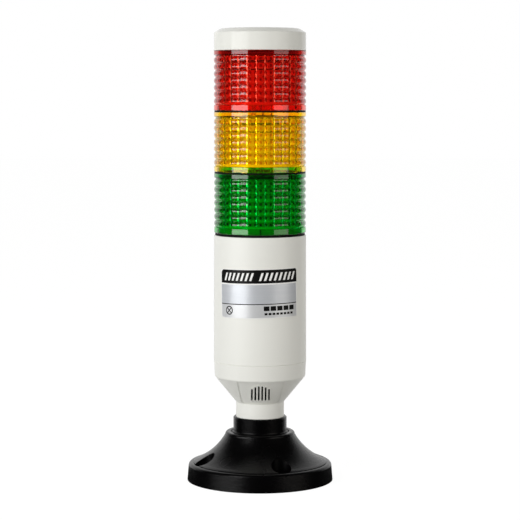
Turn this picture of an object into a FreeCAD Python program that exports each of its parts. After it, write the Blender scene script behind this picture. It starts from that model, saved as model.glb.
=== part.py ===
import FreeCAD, Part

import math
import os
import re

import Sketcher

# ---------------------------------------------------------------------------
# Three-tier stack light, standing on its base.
# Frame: origin at the centre of the base's underside, +Z up, the buzzer
# grille and the nameplate face -Y.  All lengths in millimetres.
# ---------------------------------------------------------------------------

DIMENSIONS = {
    # base stand
    "foot_radius": 44.75,          # rim where it meets the mounting surface
    "rim_radius": 44.0,          # top of the upright rim
    "rim_height": 9.25,
    "rim_round": 2.5,             # soft edge between rim and crease
    "crease_radius": 41.1,        # fine crease between rim and shoulder
    "crease_height": 11.25,
    "crease_depth": 0.35,
    "shelf_radius": 38.7,         # where the sweep turns over into the shoulder
    "shelf_height": 12.3,
    "shoulder_round": 17.0,
    "sweep_round": 38.4,          # hollow sweep of the trumpet
    "brow_radius": 20.2,          # edge of the flat round the collar
    "brow_height": 29.9,
    "brow_round": 1.65,
    "brow_spread": 1.15,          # how far the round runs out
    "collar_radius": 16.4,
    "collar_height": 39.2,
    "collar_edge": 0.6,
    "collar_fillet": 0.9,         # round at the collar's foot
    "collar_fillet_rise": 0.8,
    "collar_fillet_width": 0.6,
    "moat_depth": 0.9,            # fine groove round the collar's foot
    "moat_width": 0.7,
    "moat_slope": 0.4,
    "base_wall": 3.0,
    "foot_draft": 0.5,
    "rim_hollow_drop": 1.0,
    "shelf_hollow_inset": 1.2,
    "brow_hollow_inset": 0.8,
    "deck_drop": 0.5,             # seat of the neck, below the flat round the collar
    "deck_thick": 4.0,
    "well_circle": 36.0,          # radius of the circle of fixing screws
    "well_radius": 6.0,
    "well_wall": 2.0,
    "well_floor": 3.0,
    "well_count": 4,
    "well_turn": 20.0,            # angle of the first well from +X
    "fixing_hole_radius": 2.75,
    # clamp under the deck
    "nut_flat": 27.0,             # across flats
    "nut_thick": 7.0,
    "nut_corner": 0.5,
    "washer_radius": 16.0,
    "washer_thick": 1.2,
    "thread_gap": 0.05,
    "tail_gap": 0.3,
    # bottom cover
    "neck_radius": 14.75,
    "neck_gap": 0.2,
    "neck_seal_thick": 1.2,
    "neck_seal_inset": 0.1,
    "bead_height": 0.9,           # rounded bead at the neck's foot
    "tail_radius": 11.0,
    "tail_reach": 18.5,           # thread below the neck's shoulder
    "cable_radius": 7.5,
    "tail_floor": 3.3,
    "tail_chamfer": 0.5,
    "cone_foot": 48.4,
    "cone_top_radius": 27.3,
    "cone_top": 63.8,
    "cone_top_round": 1.5,
    "ring_low_radius": 27.8,
    "ring_low": 65.0,
    "seam_height": 73.7,
    "seam_radius": 28.2,
    "seam_edge": 0.3,
    "cover_wall": 2.2,
    "cover_lip": 5.3,             # spigot that enters the body tube
    "lip_wall": 1.7,
    "lip_gap": 0.1,
    "lip_chamfer": 0.5,
    "lip_root": 2.0,              # how far the lip's bore starts below the seam
    "cone_hollow_round": 0.5,
    "oring_round": 0.75,
    "oring_rise": 2.3,
    "oring_slack": 0.1,
    # grille and its panel
    "slot_count": 6,
    "slot_pitch": 2.07,
    "slot_width": 1.05,
    "slot_foot": 51.2,
    "slot_top": 61.2,             # middle slots
    "slot_step": 0.32,            # drop of the tops, times the square of the place
    "frame_margin": 0.75,
    "panel_top_half": 14.3,
    "panel_foot_half": 11.4,
    "panel_corner": 2.6,
    "panel_top_corner": 0.2,
    "panel_foot_rise": 0.5,
    "panel_depth": 0.4,
    # buzzer
    "buzzer_rise": 10.4,          # centre of its front, along the cone from its foot
    "buzzer_sink": 1.58,          # its front, behind the cone's wall
    "buzzer_radius": 8.5,
    "buzzer_depth": 7.0,
    "buzzer_wall": 1.0,
    "buzzer_gap": 0.1,
    "cup_wall": 1.4,
    "cup_depth": 6.0,
    "cup_lip": 1.2,
    "cup_mouth_inset": 1.2,
    "cup_root": 4.0,              # how far the cup runs into the cone's wall
    "sound_hole_radius": 1.8,
    "diaphragm_thick": 0.3,
    "lead_radius": 0.6,
    "lead_pitch": 3.0,
    # body tube
    "body_top": 150.9,
    "body_top_radius": 28.05,
    "body_bore": 26.0,
    "body_edge": 0.4,
    "body_seam_step": 0.1,        # the tube stands proud of the cover at their seam
    "body_deck_thick": 2.0,
    "deck_hole_radius": 9.0,
    # twist-lock joint, the same at every level
    "spigot_radius": 25.2,
    "spigot_wall": 1.6,
    "spigot_reach": 3.5,          # above the skirt's lower edge of the piece on top
    "spigot_gap": 0.1,
    "spigot_notch": 1.2,
    "spigot_chamfer": 0.4,
    "seal_thick": 1.0,
    "body_seal_thick": 1.6,
    "seal_inset": 0.3,
    "lug_count": 3,
    "lug_turn": 90.0,             # angle of the first lug from +X
    "lug_angle": 14.0,
    "lug_proud": 0.85,
    "lug_rise": 1.2,
    "lug_thick": 1.5,
    "lug_gap": 0.2,
    "lug_slack": 1.0,             # degrees beside the lug
    "twist": 15.0,                # degrees from locked to free
    # one light tier
    "tier_height": 36.0,          # from the skirt's lower edge to the top of the band
    "lens_radius": 28.0,
    "lens_edge": 0.2,
    "skirt_height": 3.3,
    "ridge_count": 7,
    "ridge_depth": 0.95,
    "ridge_foot": 3.49,           # lower end of the first ridge
    "band_height": 2.47,          # plain band at the top of the lens
    "groove_flat": 0.55,
    "groove_slope": 0.65,
    "flute_count": 28,
    "flute_radius": 3.5,
    "flute_outer": 25.2,
    "flute_top_gap": 2.8,         # solid wall under the top of the band
    "mark_width": 0.9,
    "mark_depth": 0.25,
    # lamp unit inside a tier
    "floor_radius": 25.1,
    "floor_thick": 1.5,
    "floor_rise": 3.7,
    "column_radius": 7.0,
    "column_reach": 27.2,
    "led_board_flat": 17.0,
    "led_board_gap": 0.05,
    "led_board_inset": 0.8,
    "led_rows": 3,
    "led_pitch": 8.2,
    "led_width": 3.4,
    "led_thick": 1.5,
    "led_dome_radius": 1.3,
    "led_dome_rise": 0.6,
    "contact_radius": 11.0,
    "contact_thick": 1.6,
    "track_first": 2.5,
    "track_pitch": 2.25,
    "track_width": 0.9,
    "track_thick": 0.15,
    "track_count": 4,
    "pin_radius": 0.7,
    "pin_tip": 0.5,
    "pin_flange": 0.8,
    "pin_flange_radius": 1.05,
    # cap
    "cap_gap": 0.1,
    "cap_radius": 27.9,
    "cap_height": 14.2,
    "cap_side": 11.05,
    "cap_shoulder_radius": 24.5,
    "cap_shoulder": 12.8,
    "cap_side_round": 0.8,
    "cap_side_rise": 0.45,
    "cap_side_inset": 0.45,
    "cap_shoulder_round": 3.4,
    "cap_crown_inset": 1.6,
    "cap_crown_rise": 0.5,
    "cap_lip": 0.6,
    "cap_lip_proud": 0.12,
    "cap_wall": 2.2,
    "cap_crown_extra": 0.6,       # the crown is thicker than the side
    "cap_shoulder_extra": 0.8,
    "cap_stop_gap": 0.2,
    "cap_rebate_gap": 0.1,
    "cap_seal_width": 1.4,
    # nameplate
    "plate_low": 102.5,
    "plate_high": 132.0,
    "plate_half": 22.7,
    "plate_shift": -0.9,
    "plate_corner": 1.6,
    "plate_thick": 0.2,
    "plate_glue": 0.03,            # adhesive between the plate and the tube
    "plate_tilt": 1.05,
    "plate_margin": 2.0,
    # electronics in the body
    "tray_radius": 25.6,
    "tray_thick": 2.0,
    "tray_hole_radius": 9.0,
    "post_outer": 23.4,
    "post_inner": 19.0,
    "post_low_side": 1.2,
    "post_high_side": 8.4,
    "post_top_gap": 6.9,          # below the body tube's deck
    "board_half": 20.5,
    "board_back": 5.65,
    "board_thick": 1.6,
    "board_gap": 0.05,
    "board_top_gap": 4.9,         # below the body tube's deck
    "header_half": 10.0,
    "header_depth": 5.0,
    "header_drop": 9.0,
    "header_pin_radius": 0.5,
    "header_pin_pitch": 2.54,
    "terminal_rise": 11.0,
    "terminal_height": 12.0,
    "terminal_depth": 12.0,
    "terminal_half": 16.5,
    "terminal_count": 6,
    "terminal_pitch": 5.2,
    "terminal_bore": 1.6,
    "terminal_entry": 7.2,
    "terminal_sink": 1.0,         # what the entries and wells start short of the faces
    "screw_well_depth": 4.0,
    "screw_head": 1.6,
    "screw_slot": 0.5,
    "screw_slot_depth": 0.6,
    "capacitor_radius": 4.5,
    "capacitor_length": 12.0,
    "capacitor_rise": 36.0,
    "capacitor_pitch": 10.0,
    "capacitor_left": 12.5,       # the first one, left of the middle
    "capacitor_edge": 0.6,
    "module_left": 3.5,           # its near side, right of the middle
    "module_width": 14.0,
    "module_depth": 11.0,
    "module_height": 15.0,
    "chip_width": 5.0,
    "chip_height": 4.0,
    "chip_thick": 1.5,
    "chip_count": 3,
    "chip_pitch": 8.0,
    "chip_rise": 8.0,             # above the capacitors
    "socket_half": 4.0,
    "socket_depth": 4.0,
    "socket_rise": 3.0,
    "socket_height": 6.0,
}

doc = FreeCAD.newDocument("stack_light")
sheet = doc.addObject("Spreadsheet::Sheet", "dims")
for row, (alias, size) in enumerate(DIMENSIONS.items(), start=1):
    sheet.set(f"A{row}", alias)
    sheet.set(f"B{row}", str(size))
    sheet.setAlias(f"B{row}", alias)
doc.recompute()

ALIAS = re.compile(r"\b(" + "|".join(DIMENSIONS) + r")\b")
UP = FreeCAD.Vector(0, 0, 1)
nodes = []


# ---------------------------------------------------------------------------
# helpers: an expression is a text in the sheet's own words
# ---------------------------------------------------------------------------

def linked(expression):
    """The same expression with every word pointing into the sheet."""
    return ALIAS.sub(r"dims.\1", expression)


def size(expression):
    """The expression's value now."""
    return float(sheet.evalExpression(expression))


def bind(thing, **expressions):
    """Tie properties of a document object to the sheet."""
    for name, expression in expressions.items():
        thing.setExpression(name, linked(expression))
    return thing


def lift(thing, height):
    """Put an object at a height above the mounting surface."""
    thing.setExpression("Placement.Base.z", linked(height))
    return thing


def cylinder(name, radius, height, low="0"):
    """Upright cylinder on the axis."""
    return lift(bind(doc.addObject("Part::Cylinder", name), Radius=radius, Height=height), low)


def block(name, across, deep, tall, corner):
    """Box from its three sizes and its lowest corner, all expressions."""
    box = bind(doc.addObject("Part::Box", name), Length=across, Width=deep, Height=tall)
    for axis, place in zip("xyz", corner):
        box.setExpression(f"Placement.Base.{axis}", linked(place))
    return box


def cut(name, base, tool):
    result = doc.addObject("Part::Cut", name)
    result.Base = base
    result.Tool = tool
    return result


def common(name, first, second):
    result = doc.addObject("Part::Common", name)
    result.Base = first
    result.Tool = second
    return result


def fuse(name, *pieces):
    result = doc.addObject("Part::MultiFuse", name)
    result.Shapes = list(pieces)
    return result


def ring(name, outer, inner, height, low="0"):
    """Flat ring on the axis."""
    void = cylinder(name + "_void", inner, f"({height}) * 3", f"({low}) - ({height})")
    return cut(name, cylinder(name + "_disc", outer, height, low), void)


def feature(name, shape):
    """Object whose shape comes from a formula or a loop."""
    made = doc.addObject("Part::Feature", name)
    made.Shape = shape
    return made


def arc_middle(first, last, radius, side):
    """Middle of the arc between two points; side 1 bulges right of the way."""
    chord = last - first
    half = chord.Length / 2
    sag = radius - math.sqrt(radius * radius - half * half)
    across = FreeCAD.Vector(chord.y, -chord.x, 0).normalize()
    return (first + last) / 2 + across * sag * side


def turned(name, outline):
    """Body of revolution.  Each corner of the closed outline is (radius, height),
    and may add (round, side) for the arc that leads to the next corner."""
    body = doc.addObject("PartDesign::Body", name)
    sketch = body.newObject("Sketcher::SketchObject", name + "_section")
    plane = [item for item in body.Origin.OriginFeatures if item.Role == "XZ_Plane"][0]
    sketch.AttachmentSupport = [(plane, "")]
    sketch.MapMode = "FlatFace"
    corners = [FreeCAD.Vector(size(corner[0]), size(corner[1]), 0) for corner in outline]
    starts = []
    ends = []
    for index, corner in enumerate(outline):
        here = corners[index]
        there = corners[(index + 1) % len(corners)]
        if len(corner) == 2:
            sketch.addGeometry(Part.LineSegment(here, there), False)
            starts.append(1)
            ends.append(2)
            continue
        middle = arc_middle(here, there, size(corner[2]), corner[3])
        forward = (middle - here).cross(there - middle).z > 0
        arc = Part.Arc(here, middle, there) if forward else Part.Arc(there, middle, here)
        sketch.addGeometry(arc, False)
        starts.append(1 if forward else 2)
        ends.append(2 if forward else 1)
    for index, corner in enumerate(outline):
        after = (index + 1) % len(outline)
        sketch.addConstraint(Sketcher.Constraint("Coincident", index, ends[index], after, starts[after]))
        if len(corner) > 2:
            place = sketch.addConstraint(Sketcher.Constraint("Radius", index, size(corner[2])))
            sketch.setExpression(f"Constraints[{place}]", linked(corner[2]))
        for kind, axis, text in (("DistanceX", -2, corner[0]), ("DistanceY", -1, corner[1])):
            if text == "0":
                sketch.addConstraint(Sketcher.Constraint("PointOnObject", index, starts[index], axis))
                continue
            rule = Sketcher.Constraint(kind, -1, 1, index, starts[index], size(text))
            place = sketch.addConstraint(rule)
            sketch.setExpression(f"Constraints[{place}]", linked(text))
    turn = body.newObject("PartDesign::Revolution", name + "_turn")
    turn.Profile = sketch
    turn.ReferenceAxis = (sketch, ["V_Axis"])
    turn.Angle = 360
    return body


def sector(name, radius, angle, height, low, start):
    """Wedge of a disc, from the start angle on."""
    wedge = bind(doc.addObject("Part::Cylinder", name), Radius=radius, Height=height, Angle=angle)
    wedge.Placement = FreeCAD.Placement(FreeCAD.Vector(), FreeCAD.Rotation(UP, size(start)))
    return lift(wedge, low)


def around(count, start):
    """Evenly spread angles in degrees."""
    number = int(round(size(count)))
    return [size(start) + 360.0 * place / number for place in range(number)]


def keep(label, thing, height=None):
    """Name a finished piece, put it at its height and note it for writing."""
    thing.Label = label
    if height is not None:
        lift(thing, height)
    nodes.append(thing)
    return thing


# ---------------------------------------------------------------------------
# heights that several pieces share
# ---------------------------------------------------------------------------

DECK_TOP = "(brow_height - deck_drop)"
NECK_SHOULDER = f"({DECK_TOP} + neck_seal_thick)"
DECK_LOW = f"({DECK_TOP} - deck_thick)"
COLLAR_BORE = "(neck_radius + neck_gap)"
CONE_RUN = "(cone_top_radius - neck_radius)"
CONE_RISE = "(cone_top - cone_foot)"
CONE_LENGTH = f"sqrt({CONE_RUN} ^ 2 + {CONE_RISE} ^ 2)"
CONE_LEAN = f"({CONE_LENGTH} / {CONE_RISE})"
INNER_SHIFT = f"(cover_wall * {CONE_LEAN})"
BUZZER_BACK = "(cover_wall + buzzer_sink)"
BUZZER_REACH = f"(neck_radius + (buzzer_rise * {CONE_RUN} - {BUZZER_BACK} * {CONE_RISE}) / {CONE_LENGTH})"
BUZZER_HEIGHT = f"(cone_foot + (buzzer_rise * {CONE_RISE} + {BUZZER_BACK} * {CONE_RUN}) / {CONE_LENGTH})"
LIP_TOP = "(seam_height + cover_lip)"
LIP_RADIUS = "(body_bore - lip_gap)"
LIP_BORE = f"({LIP_RADIUS} - lip_wall)"
TRAY_TOP = f"({LIP_TOP} + tray_thick)"
SKIRT_BORE = "(spigot_radius + spigot_gap)"
SPIGOT_BORE = "(spigot_radius - spigot_wall)"
LEVEL_STEP = "(tier_height + seal_thick)"
GREEN_FOOT = "(body_top + body_seal_thick)"
AMBER_FOOT = f"({GREEN_FOOT} + {LEVEL_STEP})"
RED_FOOT = f"({AMBER_FOOT} + {LEVEL_STEP})"
CAP_FOOT = f"({RED_FOOT} + tier_height + cap_gap)"
FLOOR_TOP = "(floor_rise + floor_thick)"
COLUMN_TOP = f"({FLOOR_TOP} + column_reach)"
TRACK_TOP = f"({COLUMN_TOP} + contact_thick + track_thick)"
PIN_DROP = f"({LEVEL_STEP} - {TRACK_TOP})"
BODY_TRACK_TOP = f"({GREEN_FOOT} - {PIN_DROP})"
BODY_DECK_TOP = f"({BODY_TRACK_TOP} - track_thick - contact_thick)"
BODY_DECK_LOW = f"({BODY_DECK_TOP} - body_deck_thick)"
BODY_FOOT_RADIUS = "(seam_radius + body_seam_step)"
NEARLY_ROUND = 0.98               # a slot's corners, as a share of half its width
RIDGE_TOP = "(tier_height - band_height - groove_slope - groove_flat)"
RIDGE_PITCH = f"(({RIDGE_TOP} - ridge_foot) / ridge_count)"


# ---------------------------------------------------------------------------
# base stand
# ---------------------------------------------------------------------------

def base_skin():
    """Outer line of the flange, from the flat round the collar to the foot."""
    return [
        ("brow_radius", "brow_height", "brow_round", -1),
        ("brow_radius + brow_spread", "brow_height - brow_round", "sweep_round", 1),
        ("shelf_radius", "shelf_height", "shoulder_round", -1),
        ("crease_radius", "crease_height"),
        ("crease_radius - crease_depth", "crease_height - crease_depth"),
        ("crease_radius + crease_depth", "crease_height - crease_depth", "rim_round", -1),
        ("rim_radius", "rim_height"),
        ("foot_radius", "0"),
    ]


def base_stand():
    tail_bore = "tail_radius + tail_gap"
    moat = "collar_radius + collar_fillet_width"
    shell = turned("base_shell", [
        (tail_bore, DECK_LOW),
        (tail_bore, DECK_TOP),
        (COLLAR_BORE, DECK_TOP),
        (COLLAR_BORE, "collar_height"),
        ("collar_radius - collar_edge", "collar_height"),
        ("collar_radius", "collar_height - collar_edge"),
        ("collar_radius", "brow_height + collar_fillet_rise", "collar_fillet", 1),
        (moat, "brow_height"),
        (moat, "brow_height - moat_depth"),
        (moat + " + moat_width", "brow_height - moat_depth"),
        (moat + " + moat_width + moat_slope", "brow_height"),
    ] + base_skin() + [
        ("foot_radius - base_wall - foot_draft", "0"),
        ("rim_radius - base_wall", "rim_height - rim_hollow_drop"),
        ("shelf_radius - shelf_hollow_inset", "shelf_height - base_wall", "sweep_round + base_wall", -1),
        ("brow_radius - brow_hollow_inset", DECK_LOW),
    ])
    filled = turned("base_filled", [("0", "0"), ("0", "brow_height")] + base_skin())
    bosses = []
    wells = []
    for place, angle in enumerate(around("well_count", "well_turn")):
        spot = FreeCAD.Rotation(UP, angle).multVec(FreeCAD.Vector(size("well_circle"), 0, 0))
        boss = cylinder(f"well_boss_{place}", "well_radius + well_wall", "brow_height")
        well = cylinder(f"well_{place}", "well_radius", "brow_height", "well_floor")
        hole = cylinder(f"fixing_hole_{place}", "fixing_hole_radius", "well_floor * 3", "0 - well_floor")
        for piece in (boss, well, hole):
            piece.Placement.Base = FreeCAD.Vector(spot.x, spot.y, 0)
        bosses.append(boss)
        wells += [well, hole]
    pads = common("well_pads", fuse("well_bosses", *bosses), filled)
    whole = fuse("base_whole", shell, pads)
    keep("base_stand", cut("base_stand_solid", whole, fuse("base_wells", *wells)))


def clamp():
    """Washer and hexagon nut on the tail, under the deck."""
    under_washer = f"{DECK_LOW} - washer_thick"
    washer = ring("washer_ring", "washer_radius", "tail_radius + tail_gap", "washer_thick", under_washer)
    keep("clamp_washer", washer)
    blank = bind(doc.addObject("Part::Prism", "nut_blank"), Height="nut_thick")
    blank.Polygon = 6
    bind(blank, Circumradius="nut_flat / 2 / cos(30)")
    lift(blank, f"{under_washer} - nut_thick")
    crown = cylinder("nut_crown", "nut_flat / 2 / cos(30) - nut_corner", "nut_thick",
                     f"{under_washer} - nut_thick")
    rounded = common("nut_rounded", blank, crown)
    bore = cylinder("nut_bore", "tail_radius + thread_gap", "nut_thick * 3", f"{under_washer} - nut_thick * 2")
    keep("clamp_nut", cut("nut_solid", rounded, bore))
    keep("neck_gasket", ring("neck_gasket_ring", "neck_radius - neck_seal_inset", "tail_radius + neck_seal_inset",
                             "neck_seal_thick", DECK_TOP))


# ---------------------------------------------------------------------------
# bottom cover with grille and buzzer cup
# ---------------------------------------------------------------------------

def cone_skin(offset):
    """Cone line moved inwards by an offset measured square to it."""
    shift = f"({offset}) * {CONE_LEAN}"
    return [("neck_radius - " + shift, "cone_foot"), ("cone_top_radius - " + shift, "cone_top")]


def front_prism(name, corners, rounds, front, back):
    """Prism along Y through an outline seen from the front, with rounded corners."""
    points = [FreeCAD.Vector(x, 0, z) for x, z in corners]
    count = len(points)
    edges = []
    joints = []
    for index in range(count):
        here = points[index]
        before = (points[index - 1] - here).normalize()
        after = (points[(index + 1) % count] - here).normalize()
        half = before.getAngle(after) / 2
        trim = rounds[index] / math.tan(half)
        centre = here + (before + after).normalize() * (rounds[index] / math.sin(half))
        inward = (here - centre).normalize() * rounds[index]
        joints.append((here + before * trim, centre + inward, here + after * trim))
    for index in range(count):
        if rounds[index] > 0:
            edges.append(Part.Arc(*joints[index]).toShape())
        leave = joints[index][2]
        arrive = joints[(index + 1) % count][0]
        if (arrive - leave).Length > 1e-6:
            edges.append(Part.makeLine(leave, arrive))
    face = Part.Face(Part.Wire(Part.__sortEdges__(edges)))
    prism = feature(name, face.extrude(FreeCAD.Vector(0, front - back, 0)))
    prism.Placement.Base = FreeCAD.Vector(0, back, 0)
    return prism


def slot_outlines(margin):
    """Left and right side, foot and top of each grille slot, widened by a margin."""
    number = int(round(size("slot_count")))
    outlines = []
    for place in range(number):
        step = place - (number - 1) / 2
        middle = step * size("slot_pitch")
        half = size("slot_width") / 2 + margin
        top = size("slot_top") - size("slot_step") * (step * step - 0.25) + margin
        outlines.append((middle - half, middle + half, size("slot_foot") - margin, top))
    return outlines


def grille_tools():
    """What the slots take out, and the sunk panel round them."""
    far = -size("foot_radius")
    slots = []
    for place, (left, right, foot, top) in enumerate(slot_outlines(0)):
        corners = [(left, foot), (right, foot), (right, top), (left, top)]
        rounds = [(right - left) / 2 * NEARLY_ROUND] * 4
        slots.append(front_prism(f"slot_{place}", corners, rounds, far, 0))
    wall = turned("grille_wall", [
        ("neck_radius", "cone_foot - 2"),
        ("neck_radius + foot_radius", "cone_foot - 2"),
        ("neck_radius + foot_radius", "cone_top + 2"),
        ("cone_top_radius", "cone_top + 2"),
    ] + list(reversed(cone_skin("cover_wall + panel_depth"))))
    frame = []
    for place, (left, right, foot, top) in enumerate(slot_outlines(size("frame_margin"))):
        corners = [(left, foot), (right, foot), (right, top), (left, top)]
        rounds = [(right - left) / 2 * NEARLY_ROUND] * 4
        frame.append(front_prism(f"slot_frame_{place}", corners, rounds, far, 0))
    wide = size("panel_top_half")
    narrow = size("panel_foot_half")
    top = size("cone_top")
    low = size("cone_foot + panel_foot_rise")
    outline = [(-narrow, low), (narrow, low), (wide, top), (-wide, top)]
    rounds = [size("panel_corner")] * 2 + [size("panel_top_corner")] * 2
    field = front_prism("panel_field", outline, rounds, far, 0)
    depth = turned("panel_layer", [
        ("neck_radius - panel_depth", "cone_foot - 2"),
        ("neck_radius + foot_radius", "cone_foot - 2"),
        ("neck_radius + foot_radius", "cone_top"),
        ("cone_top_radius - panel_depth", "cone_top"),
        ("neck_radius - panel_depth", "cone_foot"),
    ])
    sunk = cut("panel_sunk", common("panel_field_layer", field, depth), fuse("panel_frame", *frame))
    return common("grille_slots", fuse("slots", *slots), wall), sunk


def tilted(thing, inward):
    """Lay an upright piece along the buzzer's axis, from its front inwards."""
    lean = math.degrees(math.atan2(size(CONE_RISE), size(CONE_RUN)))
    turn = FreeCAD.Rotation(FreeCAD.Vector(1, 0, 0), -lean)
    front = FreeCAD.Vector(0, -size(BUZZER_REACH), size(BUZZER_HEIGHT))
    thing.Placement = FreeCAD.Placement(front + turn.multVec(UP) * inward, turn)
    return thing


def bottom_cover():
    filled = turned("cover_filled", [
        ("cable_radius", f"{NECK_SHOULDER} - tail_reach"),
        ("tail_radius - tail_chamfer", f"{NECK_SHOULDER} - tail_reach"),
        ("tail_radius", f"{NECK_SHOULDER} - tail_reach + tail_chamfer"),
        ("tail_radius", NECK_SHOULDER),
        ("neck_radius", NECK_SHOULDER),
        ("neck_radius", "collar_height", "bead_height", 1),
        ("neck_radius", "collar_height + bead_height"),
        ("neck_radius", "cone_foot"),
        ("cone_top_radius", "cone_top", "cone_top_round", 1),
        ("ring_low_radius", "ring_low"),
        ("seam_radius", "seam_height - seam_edge"),
        ("seam_radius - seam_edge", "seam_height"),
        (LIP_RADIUS, "seam_height"),
        (LIP_RADIUS, f"{LIP_TOP} - lip_chamfer"),
        (f"{LIP_RADIUS} - lip_chamfer", LIP_TOP),
        ("cable_radius", LIP_TOP),
    ])
    void = turned("cover_void", [
        ("0", f"{NECK_SHOULDER} + tail_floor"),
        ("neck_radius - cover_wall", f"{NECK_SHOULDER} + tail_floor"),
        ("neck_radius - cover_wall", f"cone_foot + ({INNER_SHIFT} - cover_wall) * {CONE_RISE} / {CONE_RUN}"),
        (f"cone_top_radius - {INNER_SHIFT} + cone_hollow_round",
         f"cone_top + cone_hollow_round * {CONE_RISE} / {CONE_RUN}"),
        (LIP_BORE, "seam_height - lip_root"),
        (LIP_BORE, f"{LIP_TOP} + lip_root"),
        ("0", f"{LIP_TOP} + lip_root"),
    ])
    groove = ring("oring_groove", "seam_radius", "body_bore - oring_round * 2", "oring_round * 2 + oring_slack",
                  "seam_height + oring_rise - oring_round - oring_slack / 2")
    slots, sunk = grille_tools()
    deep = "cup_depth + cup_lip + cup_root"
    cup = bind(doc.addObject("Part::Cylinder", "cup_outside"), Radius="buzzer_radius + buzzer_gap + cup_wall",
               Height=deep)
    seat = bind(doc.addObject("Part::Cylinder", "cup_seat"), Radius="buzzer_radius + buzzer_gap", Height=deep)
    mouth = bind(doc.addObject("Part::Cylinder", "cup_mouth"), Radius="buzzer_radius - cup_mouth_inset",
                 Height=deep)
    tilted(cup, -size("cup_lip + cup_root"))
    tilted(seat, 0)
    tilted(mouth, -size("cup_lip + cup_root * 1.25"))
    tube = cut("cup_tube", cup, fuse("cup_bore", seat, mouth))
    hollow = cut("cover_hollow", void, tube)
    shell = cut("cover_shell", filled, fuse("cover_cuts", groove, slots, sunk))
    keep("bottom_cover", cut("bottom_cover_solid", shell, hollow))
    seal = bind(doc.addObject("Part::Torus", "oring"), Radius1="body_bore - oring_round", Radius2="oring_round")
    keep("cover_oring", seal, "seam_height + oring_rise")


def buzzer():
    case = bind(doc.addObject("Part::Cylinder", "buzzer_can"), Radius="buzzer_radius", Height="buzzer_depth")
    room = bind(doc.addObject("Part::Cylinder", "buzzer_room"), Radius="buzzer_radius - buzzer_wall",
                Height="buzzer_depth - buzzer_wall * 2")
    mouth = bind(doc.addObject("Part::Cylinder", "buzzer_mouth"), Radius="sound_hole_radius",
                 Height="buzzer_wall * 2")
    tilted(case, 0)
    tilted(room, size("buzzer_wall"))
    tilted(mouth, -size("buzzer_wall") / 2)
    keep("buzzer_case", cut("buzzer_case_solid", case, fuse("buzzer_hollow", room, mouth)))
    disc = bind(doc.addObject("Part::Cylinder", "buzzer_disc"), Radius="buzzer_radius - buzzer_wall",
                Height="diaphragm_thick")
    tilted(disc, size("buzzer_depth - buzzer_wall - diaphragm_thick"))
    keep("buzzer_diaphragm", disc)
    lean = math.atan2(size(CONE_RISE), size(CONE_RUN))
    way = FreeCAD.Vector(0, math.sin(lean), math.cos(lean))
    start = FreeCAD.Vector(0, -size(BUZZER_REACH), size(BUZZER_HEIGHT)) + way * size("buzzer_depth")
    column = size("board_back - board_thick - socket_depth / 2")
    bend = start + way * ((column - start.y) / way.y)
    finish = FreeCAD.Vector(0, column, size(f"{TRAY_TOP} + socket_rise"))
    shorter = min((bend - start).Length, (finish - bend).Length)
    half = way.getAngle(UP) / 2
    trim = 0.45 * shorter
    leave = bend - way * trim
    arrive = bend + UP * trim
    radius = trim / math.tan(half)
    inside = (UP - way).normalize()
    middle = bend + inside * (radius / math.cos(half) - radius)
    print(f"buzzer lead bend radius {radius:.2f}")
    leads = []
    for side in (-0.5, 0.5):
        shift = FreeCAD.Vector(side * size("lead_pitch"), 0, 0)
        path = Part.Wire([
            Part.makeLine(start + shift, leave + shift),
            Part.Arc(leave + shift, middle + shift, arrive + shift).toShape(),
            Part.makeLine(arrive + shift, finish + shift),
        ])
        circle = Part.Wire(Part.makeCircle(size("lead_radius"), start + shift, way))
        leads.append(path.makePipeShell([circle], True, False))
    keep("buzzer_leads", feature("buzzer_lead_pair", Part.makeCompound(leads)))


# ---------------------------------------------------------------------------
# twist-lock: lugs on a spigot, channels in a skirt
# ---------------------------------------------------------------------------

def lugs(name, low):
    """Lugs on a spigot whose mating skirt starts at the given height."""
    wedges = []
    for place, angle in enumerate(around("lug_count", "lug_turn")):
        wedges.append(sector(f"{name}_wedge_{place}", "spigot_radius + lug_proud", "lug_angle", "lug_thick",
                             f"{low} + lug_rise", f"{angle} - lug_angle / 2"))
    hub = cylinder(f"{name}_hub", f"{SPIGOT_BORE} + spigot_wall / 2", "lug_thick * 3",
                   f"{low} + lug_rise - lug_thick")
    return cut(name, fuse(f"{name}_wedges", *wedges), hub)


def channels(name, low, tall):
    """What a skirt loses so that the lugs can enter from below and turn."""
    wedges = []
    track = "lug_angle + lug_slack * 2"
    for place, angle in enumerate(around("lug_count", "lug_turn")):
        first = f"{angle} - lug_angle / 2 - lug_slack - twist"
        wedges.append(sector(f"{name}_track_{place}", "spigot_radius + lug_proud + lug_gap", f"{track} + twist",
                             "lug_thick + lug_gap * 2", f"{low} + lug_rise - lug_gap", first))
        wedges.append(sector(f"{name}_entry_{place}", "spigot_radius + lug_proud + lug_gap", track,
                             tall, f"{low} - ({tall}) + lug_rise", first))
    return fuse(name, *wedges)


def notch(name, low, tall):
    """Alignment notch in the front of a spigot."""
    return block(name, "spigot_notch", "spigot_wall * 3", tall,
                 ("0 - spigot_notch / 2", "0 - spigot_radius - spigot_wall", low))


# ---------------------------------------------------------------------------
# body tube, nameplate and seals
# ---------------------------------------------------------------------------

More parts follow.
